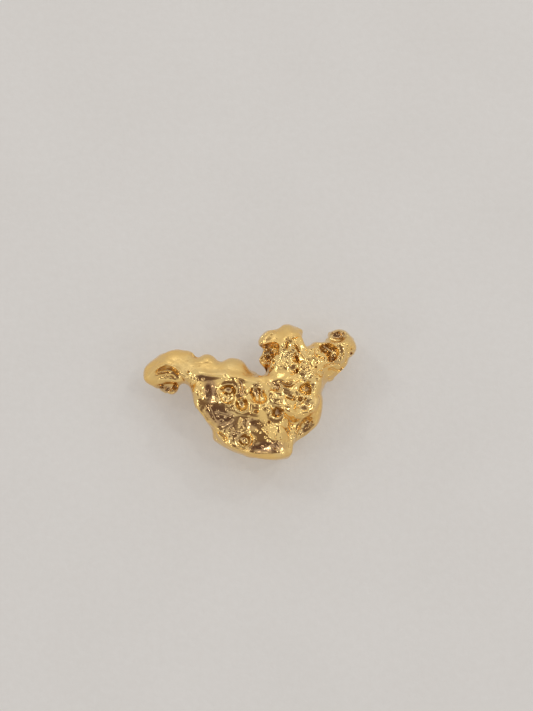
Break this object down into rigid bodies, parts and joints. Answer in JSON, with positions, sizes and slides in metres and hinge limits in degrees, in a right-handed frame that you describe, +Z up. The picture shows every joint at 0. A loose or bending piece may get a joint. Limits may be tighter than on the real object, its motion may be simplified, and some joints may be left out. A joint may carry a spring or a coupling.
{
  "type": "gold nugget",
  "caption": "Small natural gold nugget with a hooked arm, a thick pitted belly, a rough crest and a hollow knob, lying on a flat spot worn under its belly.",
  "frame": {"origin": "on the flat worn spot under the belly, which the nugget rests on", "axes": "+X runs along the nugget from the hooked arm to the hollow knob, +Y points away from the viewer towards the crest, and +Z is up"},
  "size_m": [0.0115, 0.0075, 0.0033],
  "materials": {
    "gold": "polished"
  },
  "bodies": {
    "root": {"nugget": "gold"}
  },
  "joints": []
}
